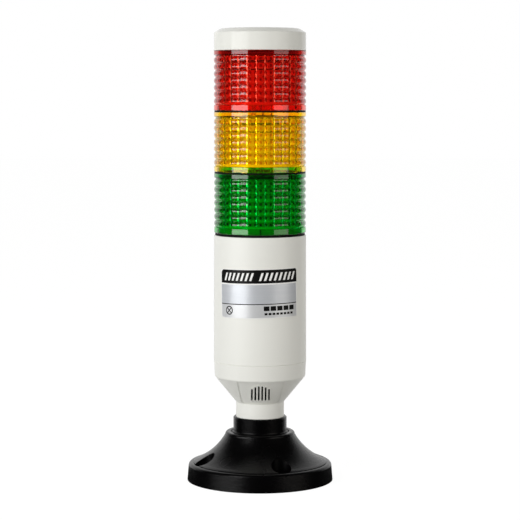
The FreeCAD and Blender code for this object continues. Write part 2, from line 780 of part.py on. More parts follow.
def body_tube():
    tube = turned("body_turned", [
        ("body_bore", "seam_height"),
        ("seam_radius - seam_edge", "seam_height"),
        (BODY_FOOT_RADIUS, "seam_height + seam_edge"),
        ("body_top_radius", "body_top - body_edge", "body_edge * 1.2", 1),
        ("body_top_radius - body_edge", "body_top"),
        ("spigot_radius", "body_top"),
        ("spigot_radius", f"{GREEN_FOOT} + spigot_reach - spigot_chamfer"),
        ("spigot_radius - spigot_chamfer", f"{GREEN_FOOT} + spigot_reach"),
        (SPIGOT_BORE, f"{GREEN_FOOT} + spigot_reach"),
        (SPIGOT_BORE, BODY_DECK_TOP),
        ("deck_hole_radius", BODY_DECK_TOP),
        ("deck_hole_radius", BODY_DECK_LOW),
        ("body_bore", BODY_DECK_LOW),
    ])
    lugged = fuse("body_lugged", tube, lugs("body_lugs", GREEN_FOOT))
    gap = notch("body_notch", GREEN_FOOT, "spigot_reach * 2")
    keep("body_tube", cut("body_tube_solid", lugged, gap))
    keep("body_seal", ring("body_seal_ring", "body_top_radius - seal_inset - body_edge", SKIRT_BORE,
                           "body_seal_thick", "body_top"))


def nameplate():
    tube_foot = "(seam_height + seam_edge)"
    slope = f"(({BODY_FOOT_RADIUS} - body_top_radius) / (body_top - body_edge - {tube_foot}))"
    below = "(plate_low - plate_margin)"
    above = "(plate_high + plate_margin)"
    low_radius = f"({BODY_FOOT_RADIUS} - {slope} * ({below} - {tube_foot}))"
    high_radius = f"({BODY_FOOT_RADIUS} - {slope} * ({above} - {tube_foot}))"
    skin = turned("plate_skin", [
        (f"{low_radius} + plate_glue", below),
        (f"{low_radius} + plate_thick", below),
        (f"{high_radius} + plate_thick", above),
        (f"{high_radius} + plate_glue", above),
    ])
    half = size("plate_half")
    low = size("plate_low")
    high = size("plate_high")
    corners = [(-half, low), (half, low), (half, high), (-half, high)]
    rounds = [size("plate_corner")] * 4
    field = front_prism("plate_field", corners, rounds, -size("foot_radius"), 0)
    middle = FreeCAD.Vector(0, 0, (low + high) / 2)
    tilt = FreeCAD.Rotation(FreeCAD.Vector(0, 1, 0), -size("plate_tilt"))
    about = FreeCAD.Placement(FreeCAD.Vector(size("plate_shift"), 0, 0), tilt, middle)
    field.Placement = about.multiply(field.Placement)
    keep("nameplate", common("nameplate_solid", skin, field))


# ---------------------------------------------------------------------------
# one light tier, made once with its skirt's lower edge at height 0
# ---------------------------------------------------------------------------

def fluted_core():
    """Void inside a lens: scallops side by side round a circle."""
    number = int(round(size("flute_count")))
    radius = size("flute_radius")
    centre = size("flute_outer") - radius
    half = math.pi / number
    cusp = centre * math.cos(half) + math.sqrt(radius ** 2 - (centre * math.sin(half)) ** 2)
    low = size(FLOOR_TOP)
    high = size("tier_height - flute_top_gap")

    def spot(reach, angle):
        return FreeCAD.Vector(reach * math.cos(angle), reach * math.sin(angle), low)

    arcs = []
    for place in range(number):
        angle = 2 * math.pi * place / number - math.pi / 2
        arcs.append(Part.Arc(spot(cusp, angle - half), spot(size("flute_outer"), angle),
                             spot(cusp, angle + half)).toShape())
    face = Part.Face(Part.Wire(arcs))
    return feature("fluted_core", face.extrude(FreeCAD.Vector(0, 0, high - low)))


def lens_master():
    ridge_round = f"(({RIDGE_PITCH} / 2) ^ 2 + ridge_depth ^ 2) / (2 * ridge_depth)"
    valley = "lens_radius - ridge_depth"
    outline = [
        (SKIRT_BORE, "0"),
        ("lens_radius - lens_edge", "0"),
        ("lens_radius", "lens_edge"),
        ("lens_radius", "skirt_height"),
    ]
    for place in range(int(round(size("ridge_count")))):
        outline.append((valley, f"ridge_foot + {place} * {RIDGE_PITCH}", ridge_round, 1))
    outline += [
        (valley, RIDGE_TOP),
        (valley, f"{RIDGE_TOP} + groove_flat"),
        ("lens_radius", "tier_height - band_height"),
        ("lens_radius", "tier_height - lens_edge"),
        ("lens_radius - lens_edge", "tier_height"),
        ("spigot_radius", "tier_height"),
        ("spigot_radius", f"{LEVEL_STEP} + spigot_reach - spigot_chamfer"),
        ("spigot_radius - spigot_chamfer", f"{LEVEL_STEP} + spigot_reach"),
        (SPIGOT_BORE, f"{LEVEL_STEP} + spigot_reach"),
        (SPIGOT_BORE, FLOOR_TOP),
        (SKIRT_BORE, FLOOR_TOP),
    ]
    blank = turned("lens_blank", outline)
    lugged = fuse("lens_lugged", blank, lugs("lens_lugs", LEVEL_STEP))
    mark = block("lens_mark", "mark_width", "mark_depth * 2", "skirt_height * 2",
                 ("0 - mark_width / 2", "0 - lens_radius - mark_depth", "0 - skirt_height"))
    gap = notch("lens_notch", LEVEL_STEP, "spigot_reach * 2")
    lost = fuse("lens_cuts", fluted_core(), channels("lens_channels", "0", "lug_rise * 2"), mark, gap)
    return cut("lens_master", lugged, lost)


def carrier_master():
    """Floor that clips under the flutes, and the column that stands on it."""
    floor = cylinder("carrier_floor", "floor_radius", "floor_thick", "floor_rise")
    column = cylinder("carrier_column", "column_radius", "column_reach", FLOOR_TOP)
    holes = []
    for place, spot in enumerate(pin_spots()):
        hole = cylinder(f"carrier_hole_{place}", "pin_radius", "floor_thick * 2", "floor_rise - floor_thick")
        hole.Placement.Base = spot
        holes.append(hole)
    return cut("carrier_master", fuse("carrier_whole", floor, column), fuse("carrier_holes", *holes))


def pin_spots():
    """One pin over each ring track, a quarter turn apart."""
    number = int(round(size("track_count")))
    spots = []
    for place in range(number):
        reach = size(f"track_first + {place} * track_pitch")
        spots.append(FreeCAD.Rotation(UP, 360.0 * place / number + 45).multVec(FreeCAD.Vector(reach, 0, 0)))
    return spots


def pins_master():
    """Spring pins: barrel in the floor, tip down on the track of the unit below."""
    low = -size(PIN_DROP)
    seat = size("floor_rise")
    pins = []
    radius = size("pin_radius")
    taper = size("pin_tip")
    flange_thick = size("pin_flange")
    for spot in pin_spots():
        stem = Part.makeCylinder(radius, size(FLOOR_TOP) - low - taper, spot + UP * (low + taper))
        tip = Part.makeCone(radius / 2, radius, taper, spot + UP * low)
        flange = Part.makeCylinder(size("pin_flange_radius"), flange_thick, spot + UP * (seat - flange_thick))
        pins.append(stem.fuse([tip, flange]).removeSplitter())
    return feature("pins_master", Part.makeCompound(pins))


def led_board_master():
    """Six-sided sleeve of lamp boards round the column."""
    low = f"{FLOOR_TOP} + led_board_inset"
    blank = bind(doc.addObject("Part::Prism", "led_sleeve"), Circumradius="led_board_flat / 2 / cos(30)",
                 Height="column_reach - led_board_inset * 2")
    blank.Polygon = 6
    lift(blank, low)
    void = cylinder("led_sleeve_void", "column_radius + led_board_gap", "column_reach * 2", "0")
    return cut("led_board_master", blank, void)


def leds_master():
    """Lamps in columns on the six faces."""
    wide = size("led_width")
    thick = size("led_thick")
    out = size("led_board_flat") / 2
    centre = size(f"{FLOOR_TOP} + column_reach / 2")
    rows = int(round(size("led_rows")))
    lamps = []
    for turn_angle in (30, 90, 150, 210, 270, 330):
        turn = FreeCAD.Rotation(UP, turn_angle)
        for row in range(rows):
            height = centre + (row - (rows - 1) / 2) * size("led_pitch")
            case = Part.makeBox(thick, wide, wide, FreeCAD.Vector(out, -wide / 2, height - wide / 2))
            dome = Part.makeCylinder(size("led_dome_radius"), size("led_dome_rise"),
                                     FreeCAD.Vector(out + thick, 0, height), FreeCAD.Vector(1, 0, 0))
            lamp = case.fuse(dome)
            lamp.Placement = FreeCAD.Placement(FreeCAD.Vector(), turn)
            lamps.append(lamp)
    return feature("leds_master", Part.makeCompound(lamps))


def tracks_master():
    """Ring tracks on a contact board, lower face at height 0."""
    rings = []
    for place in range(int(round(size("track_count")))):
        reach = size(f"track_first + {place} * track_pitch")
        half = size("track_width") / 2
        outer = Part.makeCylinder(reach + half, size("track_thick"))
        rings.append(outer.cut(Part.makeCylinder(reach - half, size("track_thick"))))
    return feature("tracks_master", Part.makeCompound(rings))


def copy_of(label, master, height):
    """Equal piece at another height."""
    twin = feature(label + "_copy", master.Shape.copy())
    keep(label, twin, height)


def light_tiers():
    lens = lens_master()
    carrier = carrier_master()
    led_board = led_board_master()
    leds = leds_master()
    pins = pins_master()
    tracks = tracks_master()
    contact = cylinder("contact_master", "contact_radius", "contact_thick")
    doc.recompute()
    for colour, foot in (("green", GREEN_FOOT), ("amber", AMBER_FOOT), ("red", RED_FOOT)):
        copy_of(f"{colour}_lens", lens, foot)
        copy_of(f"{colour}_lamp_carrier", carrier, foot)
        copy_of(f"{colour}_led_board", led_board, foot)
        copy_of(f"{colour}_leds", leds, foot)
        copy_of(f"{colour}_contact_pins", pins, foot)
        copy_of(f"{colour}_contact_board", contact, f"{foot} + {COLUMN_TOP}")
        copy_of(f"{colour}_contact_tracks", tracks, f"{foot} + {COLUMN_TOP} + contact_thick")
    for colour, foot in (("green", GREEN_FOOT), ("amber", AMBER_FOOT)):
        seal = ring(f"{colour}_seal_ring", "lens_radius - seal_inset", SKIRT_BORE, "seal_thick",
                    f"{foot} + tier_height")
        keep(f"{colour}_seal", seal)
    copy_of("body_contact_board", contact, BODY_DECK_TOP)
    copy_of("body_contact_tracks", tracks, f"{BODY_DECK_TOP} + contact_thick")


def top_cap():
    """Cap with the same skirt bore and channels, and a rebate for its seal."""
    rebate = f"{SKIRT_BORE} + cap_seal_width"
    bore_top = "seal_thick + spigot_reach + cap_stop_gap"
    lip = "cap_radius + cap_lip_proud"
    blank = turned("cap_blank", [
        (rebate + " + cap_rebate_gap", "0"),
        (lip, "0"),
        (lip, "cap_lip * 0.7"),
        ("cap_radius", "cap_lip"),
        ("cap_radius", "cap_side - cap_side_rise", "cap_side_round", 1),
        ("cap_radius - cap_side_inset", "cap_side"),
        ("cap_shoulder_radius", "cap_shoulder", "cap_shoulder_round", 1),
        ("cap_shoulder_radius - cap_crown_inset", "cap_shoulder + cap_crown_rise"),
        ("0", "cap_height"),
        ("0", "cap_height - cap_wall - cap_crown_extra"),
        (SPIGOT_BORE, "cap_shoulder - cap_wall - cap_shoulder_extra"),
        (SPIGOT_BORE, bore_top),
        (SKIRT_BORE, bore_top),
        (SKIRT_BORE, "seal_thick - cap_gap"),
        (rebate + " + cap_rebate_gap", "seal_thick - cap_gap"),
    ])
    cuts = channels("cap_channels", "(seal_thick - cap_gap)", "lug_rise * 2")
    keep("top_cap", cut("cap_solid", blank, cuts), CAP_FOOT)
    keep("cap_seal", ring("cap_seal_ring", rebate, SKIRT_BORE, "seal_thick",
                          f"{RED_FOOT} + tier_height"))


# ---------------------------------------------------------------------------
# electronics in the body tube
# ---------------------------------------------------------------------------

def board_carrier():
    """Tray on the cover's lip, with two posts that hold the board by its edges."""
    tray = ring("tray", "tray_radius", "tray_hole_radius", "tray_thick", LIP_TOP)
    deep = "post_high_side - post_low_side"
    wide = "post_outer - post_inner"
    tall = f"{BODY_DECK_LOW} - post_top_gap - {TRAY_TOP}"
    right = block("post_right", wide, deep, tall, ("post_inner", "post_low_side", TRAY_TOP))
    left = block("post_left", wide, deep, tall, ("0 - post_outer", "post_low_side", TRAY_TOP))
    slot = block("board_slot", "board_half * 2 + board_gap * 2", "board_thick + board_gap * 2", "body_top",
                 ("0 - board_half - board_gap", "board_back - board_thick - board_gap", TRAY_TOP))
    keep("board_carrier", cut("board_carrier_solid", fuse("carrier_frame", tray, right, left), slot))


def control_board():
    """Upright board and what is soldered to its front."""
    tall = f"{BODY_DECK_LOW} - board_top_gap - {TRAY_TOP}"
    board = block("board_blank", "board_half * 2", "board_thick", tall,
                  ("0 - board_half", "board_back - board_thick", TRAY_TOP))
    keep("control_board", board)
    face = "(board_back - board_thick)"
    header_low = f"({BODY_DECK_LOW} - header_drop)"
    keep("contact_header", block("header_block", "header_half * 2", "header_depth", "header_drop",
                                 ("0 - header_half", f"{face} - header_depth", header_low)))
    keep("buzzer_socket", block("buzzer_socket_block", "socket_half * 2", "socket_depth", "socket_height",
                                ("0 - socket_half", f"{face} - socket_depth", f"{TRAY_TOP} + socket_rise")))
    pins = []
    number = int(round(size("track_count")))
    for place in range(number):
        across = (place - (number - 1) / 2) * size("header_pin_pitch")
        foot = FreeCAD.Vector(across, size(f"{face} - header_depth / 2"), size(BODY_DECK_LOW))
        pins.append(Part.makeCylinder(size("header_pin_radius"), size("body_deck_thick"), foot))
    keep("header_pins", feature("header_pin_row", Part.makeCompound(pins)))


def terminals():
    face = "(board_back - board_thick)"
    low = f"({TRAY_TOP} + terminal_rise)"
    body = block("terminal_body", "terminal_half * 2", "terminal_depth", "terminal_height",
                 ("0 - terminal_half", f"{face} - terminal_depth", low))
    number = int(round(size("terminal_count")))
    entries = []
    screws = []
    front = size(f"{face} - terminal_depth")
    middle = size(f"{low} + terminal_height / 2")
    bore = size("terminal_bore")
    screw_seat = front - size("terminal_sink / 2") + size("screw_well_depth")
    for place in range(number):
        across = (place - (number - 1) / 2) * size("terminal_pitch")
        entry = bind(doc.addObject("Part::Cylinder", f"wire_entry_{place}"), Radius="terminal_bore",
                     Height="terminal_entry")
        entry.Placement.Base = FreeCAD.Vector(across, front + size("terminal_depth / 2"),
                                              size(f"{low} - terminal_sink"))
        well = bind(doc.addObject("Part::Cylinder", f"screw_well_{place}"), Radius="terminal_bore",
                    Height="screw_well_depth")
        well.Placement = FreeCAD.Placement(FreeCAD.Vector(across, front - size("terminal_sink / 2"), middle),
                                           FreeCAD.Rotation(FreeCAD.Vector(1, 0, 0), -90))
        entries += [entry, well]
        head = Part.makeCylinder(bore, size("screw_head"), FreeCAD.Vector(across, screw_seat, middle),
                                 FreeCAD.Vector(0, -1, 0))
        slot = Part.makeBox(bore * 2, size("screw_slot_depth"), size("screw_slot"),
                            FreeCAD.Vector(across - bore, screw_seat - size("screw_head"),
                                           middle - size("screw_slot / 2")))
        screws.append(head.cut(slot))
    keep("terminal_block", cut("terminal_solid", body, fuse("terminal_holes", *entries)))
    keep("terminal_screws", feature("terminal_screw_row", Part.makeCompound(screws)))


def board_parts():
    """Capacitors, supply module and driver chips."""
    face = size("board_back - board_thick")
    cans = []
    level = size(f"{TRAY_TOP} + capacitor_rise")
    forward = FreeCAD.Vector(0, -1, 0)
    for place in range(2):
        spot = FreeCAD.Vector(place * size("capacitor_pitch") - size("capacitor_left"), face, level)
        can = Part.makeCylinder(size("capacitor_radius"), size("capacitor_length"), spot, forward)
        front = [edge for edge in can.Edges
                 if edge.Closed and edge.CenterOfMass.y < face - size("capacitor_length / 2")]
        cans.append(can.makeFillet(size("capacitor_edge"), front))
    keep("capacitors", feature("capacitor_pair", Part.makeCompound(cans)))
    keep("supply_module", block("supply_block", "module_width", "module_depth", "module_height",
                                ("module_left", "board_back - board_thick - module_depth",
                                 f"{TRAY_TOP} + capacitor_rise - module_height / 2")))
    chips = []
    for place in range(int(round(size("chip_count")))):
        across = (place - (size("chip_count") - 1) / 2) * size("chip_pitch")
        chips.append(Part.makeBox(size("chip_width"), size("chip_thick"), size("chip_height"),
                                  FreeCAD.Vector(across - size("chip_width / 2"), size("board_back"),
                                                 level + size("chip_rise"))))
    keep("driver_chips", feature("driver_chip_row", Part.makeCompound(chips)))


# ---------------------------------------------------------------------------
# build, check and write
# ---------------------------------------------------------------------------

base_stand()
clamp()
bottom_cover()
buzzer()
body_tube()
nameplate()
board_carrier()
control_board()
terminals()
board_parts()
light_tiers()
top_cap()
doc.recompute()

for thing in doc.Objects:
    faults = [state for state in thing.State if state in ("Invalid", "Error")]
    if faults:
        raise RuntimeError(f"{thing.Name} ({thing.Label}) is {faults}")
for thing in nodes:
    if thing.Shape.isNull() or not thing.Shape.isValid() or not thing.Shape.Solids:
        raise RuntimeError(f"{thing.Label} has no valid solid")

os.makedirs("parts", exist_ok=True)
for thing in nodes:
    thing.Shape.exportStep(f"parts/{thing.Label}.step")
    solids = len(thing.Shape.Solids)
    print(f"{thing.Label}: {solids} solid{'s' if solids > 1 else ''}, {thing.Shape.Volume:.0f} mm3")
print(f"{len(nodes)} nodes")
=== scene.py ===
import math

import bpy
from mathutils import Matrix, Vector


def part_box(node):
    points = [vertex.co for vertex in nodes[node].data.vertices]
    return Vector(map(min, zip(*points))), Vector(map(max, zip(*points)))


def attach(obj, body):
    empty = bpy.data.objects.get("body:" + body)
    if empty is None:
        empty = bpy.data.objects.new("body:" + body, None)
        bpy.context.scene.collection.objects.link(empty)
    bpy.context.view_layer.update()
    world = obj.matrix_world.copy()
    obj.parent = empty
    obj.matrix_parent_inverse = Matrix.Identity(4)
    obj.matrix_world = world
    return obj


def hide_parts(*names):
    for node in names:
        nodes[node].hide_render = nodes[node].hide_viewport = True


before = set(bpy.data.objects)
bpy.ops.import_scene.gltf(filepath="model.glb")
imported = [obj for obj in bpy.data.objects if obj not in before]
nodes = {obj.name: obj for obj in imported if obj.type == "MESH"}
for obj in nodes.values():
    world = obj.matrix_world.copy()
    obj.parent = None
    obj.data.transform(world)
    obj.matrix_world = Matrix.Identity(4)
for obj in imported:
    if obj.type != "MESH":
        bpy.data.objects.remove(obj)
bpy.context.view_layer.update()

# %% [markdown]
# # A stack light in three colours
# A stack light is the tower on top of a machine that shows its state from far off: green
# for running, amber for attention, red for a stop, and a buzzer for those who look away.
# The solid model gives every piece at its real size and place.  This script dresses them:
# it asks the frame where each piece is, builds the ribbed lenses from their own rule, and
# gives every piece the finish of its plastic, rubber or metal.

# %% Millimetres
MM = 0.001

# %% [markdown]
# ## Camera
# The tower is seen from just under its cap, with a long lens, so its sides stay almost
# parallel.  The camera stands about four tower heights away and looks down five degrees.  It
# is a little left of the axis and turned a hair to the right, so the front of the tower faces
# just past the lens.

# %% Camera
SENSOR = 36.0                 # mm, width
FOCAL_LENGTH = 130.15385      # mm
CAMERA_AT = (-0.0150, -1.1446, 0.2355)
LOOK_DOWN = 5.0               # degrees
TURN_RIGHT = 0.75             # degrees

camera = bpy.data.objects.new("camera", bpy.data.cameras.new("camera"))
bpy.context.scene.collection.objects.link(camera)
bpy.context.scene.camera = camera
camera.data.sensor_width = SENSOR
camera.data.lens = FOCAL_LENGTH
camera.location = CAMERA_AT
camera.rotation_euler = (math.radians(90.0 - LOOK_DOWN), 0.0, math.radians(-TURN_RIGHT))
print(f"lens {camera.data.lens:.1f} mm")

# %% [markdown]
# ## Writing node maths as plain sums
# A finish often needs a formula, such as a mask for a printed field, and so does a shape
# that follows a rule.  Wired by hand it is a web of Math nodes that nobody can read.  A
# `Wire` holds one output socket and turns each operator on it into a node, so a formula is
# written the way it would be on paper.  `Tree` owns one node tree and has a single method
# that makes every other node; the finishes and the lens shape both build on it.

# %% Wire and Tree
class Wire:
    """An output socket that can be used in sums."""

    def __init__(self, tree, socket):
        self.tree = tree
        self.socket = socket

    def _sum(self, operation, *values):
        return self.tree.node("ShaderNodeMath", {"operation": operation}, dict(enumerate(values)))

    def __add__(self, other):
        return self._sum("ADD", self, other)

    def __sub__(self, other):
        return self._sum("SUBTRACT", self, other)

    def __rsub__(self, other):
        return self._sum("SUBTRACT", other, self)

    def __mul__(self, other):
        return self._sum("MULTIPLY", self, other)

    def __truediv__(self, other):
        return self._sum("DIVIDE", self, other)

    def __gt__(self, other):
        return self._sum("GREATER_THAN", self, other)

    def __lt__(self, other):
        return self._sum("LESS_THAN", self, other)

    def __abs__(self):
        return self._sum("ABSOLUTE", self)

    __radd__ = __add__

    def root(self):
        return self._sum("SQRT", self)

    def between(self, low, high):
        """1 from low to high and 0 elsewhere."""
        return (self > low) * (self < high)

    def turn_from(self, other):
        """The angle whose tangent is this value over the other."""
        return self._sum("ARCTAN2", self, other)

    def over(self, floor):
        """This value, or the floor where it is less."""
        return self._sum("MAXIMUM", self, floor)

    def part(self):
        """What is left after the whole number."""
        return self._sum("FRACT", self)

    def whole(self):
        """The whole number below."""
        return self._sum("FLOOR", self)

    def left_of(self, other):
        """What is left when other has been taken off as often as it goes in."""
        return self._sum("MODULO", self, other)

    def sine(self):
        return self._sum("SINE", self)

    def cosine(self):
        return self._sum("COSINE", self)

    def outputs(self):
        """All outputs of the node that this wire comes from, by name."""
        return {socket.name: Wire(self.tree, socket) for socket in self.socket.node.outputs}


class Tree:
    """One node tree, and the one way to add a node to it."""

    def __init__(self, tree):
        self.tree = tree
        self.tree.nodes.clear()

    def node(self, kind, settings=None, inputs=None, output=0):
        made = self.tree.nodes.new(kind)
        for name, value in (settings or {}).items():
            setattr(made, name, value)
        for key, value in (inputs or {}).items():
            if isinstance(value, Wire):
                self.tree.links.new(value.socket, made.inputs[key])
            else:
                made.inputs[key].default_value = value
        return Wire(self, made.outputs[output]) if len(made.outputs) else None


class Finish(Tree):
    """The tree of one material."""

    def __init__(self, name):
        self.material = bpy.data.materials.new(name)
        self.material.use_nodes = True
        super().__init__(self.material.node_tree)

    def place(self):
        """Where a point is on the piece, in metres."""
        return self.node("ShaderNodeTexCoord", output="Object")

    def axes(self, vector):
        return list(self.node("ShaderNodeSeparateXYZ", inputs={"Vector": vector}).outputs().values())

    def noise(self, scale, detail=2.0, vector=None):
        return self.node("ShaderNodeTexNoise", inputs={
            "Vector": vector or self.place(), "Scale": scale, "Detail": detail})

    def blend(self, mask, first, second):
        """First colour where the mask is 0, second where it is 1."""
        colours = {}
        for key, colour in ((6, first), (7, second)):
            colours[key] = colour if isinstance(colour, Wire) else (*colour, 1.0)
        return self.node("ShaderNodeMix", {"data_type": "RGBA"}, {0: mask, **colours}, output=2)

    def bump(self, height, depth):
        return self.node("ShaderNodeBump", inputs={"Height": height, "Distance": depth})

    def surface(self, **sockets):
        """Closes the tree with a Principled shader; a name is its socket's, with _ for a space."""
        inputs = {}
        for name, value in sockets.items():
            if isinstance(value, tuple) and len(value) == 3:
                value = (*value, 1.0)
            inputs[name.replace("_", " ")] = value
        shader = self.node("ShaderNodeBsdfPrincipled", inputs=inputs)
        return self.close(shader)

    def close(self, shader):
        self.node("ShaderNodeOutputMaterial", inputs={"Surface": shader})
        return self.material


print("wires and trees ready")


# %% [markdown]
# ## Moulded plastics
# Most of the tower is injection-moulded.  A moulding is never quite even: its gloss drifts
# over a few centimetres and the tool leaves a fine grain.  One recipe covers all of them,
# with a colour, a gloss and the depth and scale of the grain.  The bottom cover gets painted
# shade inside its cone, where the buzzer sits: a near-black colour there makes the slots of
# the grille read dark.

# %% Moulded plastic
GRILLE_LOW = 51.0             # mm above the base, where the slots start and end
GRILLE_HIGH = 61.0
CONE_RADIUS = 16.9            # mm, outside the cone at the foot of the slots
CONE_SPREAD = 0.82            # what the radius gains with each millimetre up
CONE_WALL = 2.0
# Painted shade: the near-black colour for the inside of the cone behind the grille.
CONE_PAINTED_SHADE = (0.01, 0.009, 0.008)
CLOUD_SCALE = 35.0
SHADE_DRIFT = 0.03
ROUGHNESS_DRIFT = 0.06


def painted_shade_behind_grille(finish):
    """1 on the faces inside the cone, which lie deeper than its wall; these get painted shade."""
    across, ahead, high = finish.axes(finish.place())
    radius = (across * across + ahead * ahead).root() / MM
    up = high / MM
    depth = (up - GRILLE_LOW) * CONE_SPREAD + (CONE_RADIUS - CONE_WALL) - radius
    return (depth > 0.0) * up.between(GRILLE_LOW, GRILLE_HIGH)


def moulded(name, colour, roughness, grain=0.0, grain_scale=2500.0, painted_grille_shade=False, **constants):
    """A plastic whose grain is so many millimetres deep."""
    finish = Finish(name)
    cloud = finish.noise(CLOUD_SCALE)
    shade = finish.blend(cloud, tuple(part * (1.0 - SHADE_DRIFT) for part in colour), colour)
    # Painted shade on the faces inside the cone, behind the grille slots.
    if painted_grille_shade:
        shade = finish.blend(painted_shade_behind_grille(finish), shade, CONE_PAINTED_SHADE)
    uneven = cloud * ROUGHNESS_DRIFT + (roughness - ROUGHNESS_DRIFT / 2)
    sockets = {"Base_Color": shade, "Roughness": uneven, **constants}
    if grain:
        sockets["Normal"] = finish.bump(finish.noise(grain_scale, 3.0), grain * MM)
    return finish.surface(**sockets)


IVORY = (0.84, 0.84, 0.79)
ivory_satin = moulded("ivory_satin", IVORY, 0.42, grain=0.02)
ivory_cover = moulded("ivory_cover", IVORY, 0.42, grain=0.02, painted_grille_shade=True)
ivory_gloss = moulded("ivory_gloss", (0.80, 0.80, 0.75), 0.16, Specular_IOR_Level=0.18)
base_black = moulded("base_black", (0.0008, 0.0007, 0.0009), 0.27, grain=0.12, grain_scale=1200.0,
                     Specular_IOR_Level=0.20)
nut_black = moulded("nut_black", (0.008, 0.008, 0.009), 0.40, grain=0.02)
seal_rubber = moulded("seal_rubber", (0.002, 0.002, 0.002), 0.60, grain=0.02,
                      Specular_IOR_Level=0.15)
seal_pale = moulded("seal_pale", (0.80, 0.79, 0.75), 0.45)
buzzer_black = moulded("buzzer_black", (0.02, 0.02, 0.02), 0.35)
carrier_white = moulded("carrier_white", (0.92, 0.92, 0.90), 0.35)
terminal_green = moulded("terminal_green", (0.03, 0.25, 0.08), 0.35)
lead_red = moulded("lead_red", (0.50, 0.02, 0.02), 0.35)
capacitor_black = moulded("capacitor_black", (0.02, 0.02, 0.03), 0.30)
print("moulded plastics ready")


# %% [markdown]
# ## Metals, boards and lamps
# Inside are a plated washer, brass contacts, solder-masked boards and small clear lamps.
# They show only through the coloured lenses or with the tower taken apart, yet each has
# its own finish.  Metal gets its life from fine scratches in the roughness.

# %% Metal and board finishes
SCRATCH_SCALE = 900.0
SCRATCH_STRETCH = (1.0, 1.0, 12.0)
SCRATCH_ROUGHNESS = 0.2
SCRATCH_DEPTH = 0.004 * MM
TRACK_SCALE = 260.0
TRACK_WIDTH = 0.09
TRACK_DEPTH = 0.02 * MM


def metal(name, colour, roughness):
    """Bare metal with fine scratches along one axis."""
    finish = Finish(name)
    stretched = finish.node("ShaderNodeMapping", inputs={
        "Vector": finish.place(), "Scale": SCRATCH_STRETCH})
    scratch = finish.noise(SCRATCH_SCALE, 4.0, stretched)
    uneven = scratch * SCRATCH_ROUGHNESS + (roughness - SCRATCH_ROUGHNESS / 2)
    return finish.surface(Base_Color=colour, Metallic=1.0, Roughness=uneven,
                          Normal=finish.bump(scratch, SCRATCH_DEPTH))


def circuit_board(name, mask_colour, trace_colour):
    """Solder mask with faint tracks that run in steps under it."""
    finish = Finish(name)
    cells = finish.node("ShaderNodeTexVoronoi", {"feature": "DISTANCE_TO_EDGE"},
                        {"Vector": finish.place(), "Scale": TRACK_SCALE})
    track = cells < TRACK_WIDTH
    return finish.surface(Base_Color=finish.blend(track, mask_colour, trace_colour), Roughness=0.35,
                          Normal=finish.bump(track, TRACK_DEPTH))


plated_steel = metal("plated_steel", (0.62, 0.62, 0.60), 0.30)
contact_brass = metal("contact_brass", (0.80, 0.58, 0.25), 0.28)
board_green = circuit_board("board_green", (0.01, 0.12, 0.04), (0.02, 0.20, 0.07))
board_white = circuit_board("board_white", (0.80, 0.80, 0.78), (0.70, 0.70, 0.68))
led_clear = moulded("led_clear", (0.85, 0.82, 0.55), 0.15)
print("metals and boards ready")


# %% [markdown]
# ## Ribbed lenses
# One lens is a thick ring whose section is simple: seven round ribs outside, a plain band
# above them, a skirt below and a spigot on top for the next tier.  Inside, twenty-eight
# upright flutes turn the wall into as many lenses.  The shape follows a rule all round, so
# Geometry Nodes make it from the section alone: a grid is bent into a ring, each column of
# it takes the section's points, and points that are marked as fluted, notched, grooved or
# lugged move by the rule for their angle.  A few dozen section points give the whole lens,
# and the ribs' arcs are as fine as the highlights need.

# %% Lens section
FLUTES = 28
COLUMNS_PER_FLUTE = 12
RIBS = 7
POINTS_PER_RIB = 12
SKIRT = 3.3                   # mm, like all lengths down to the lugs: height of the skirt
RIB_FOOT = 3.49               # lower end of the first rib
RIB_DEPTH = 0.95
GROOVE = 0.55                 # plain floor of the groove between the ribs and the band
SLOPE = 0.65                  # height of the slope from that groove to the band
BAND = 2.47                   # height of the plain band
EDGE = 0.2
SPIGOT = 25.2                 # outer radius of the spigot
SPIGOT_WALL = 1.6
CHAMFER = 0.4
FIT = 0.1                     # play between a spigot and the skirt round it
FLOOR_THICK = 1.5             # floor of the lamp carrier, on which the flutes stand
FLUTE_ROUND = 3.5             # radius of one flute
FLUTE_OUTER = 25.2            # how far out a flute reaches
FLUTE_TOP_WALL = 2.8          # solid wall over the flutes
LUGS = 3
LUG_RISE = 1.2
LUG_THICK = 1.5
LUG_PROUD = 0.85
LUG_GAP = 0.2
LUG_HALF_TURN = 7.0           # degrees
TRACK_TURN = 15.0             # degrees from locked to free
NOTCH_DEEP = 3.5              # mm, in the top of the spigot, at the front
FRONT_GROOVE = 0.25           # mm, the mark down the skirt, at the front
FRONT_HALF_TURN = 0.022       # radians, half the width of both

lens_low, lens_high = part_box("green_lens")
seal_low, seal_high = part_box("green_seal")
lens_radius = lens_high.x / MM
lens_top = (lens_high.z - lens_low.z) / MM
seal_thick = (seal_high.z - seal_low.z) / MM
step = (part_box("amber_lens")[0].z - lens_low.z) / MM
floor_top = (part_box("green_lamp_carrier")[0].z - lens_low.z) / MM + FLOOR_THICK
band_top = step - seal_thick
band_low = band_top - BAND
rib_top = band_low - SLOPE - GROOVE
rib_pitch = (rib_top - RIB_FOOT) / RIBS


def arc(start, end, radius, count):
    """Points on the arc from start to end that bulges away from the axis, without the start."""
    (r0, z0), (r1, z1) = start, end
    half = math.hypot(r1 - r0, z1 - z0) / 2
    sag = math.sqrt(radius * radius - half * half)
    across = ((z1 - z0) / (2 * half), -(r1 - r0) / (2 * half))
    centre = ((r0 + r1) / 2 - across[0] * sag, (z0 + z1) / 2 - across[1] * sag)
    first = math.atan2(z0 - centre[1], r0 - centre[0])
    last = math.atan2(z1 - centre[1], r1 - centre[0])
    turns = [first + (last - first) * place / count for place in range(1, count + 1)]
    return [(centre[0] + radius * math.cos(turn), centre[1] + radius * math.sin(turn)) for turn in turns]


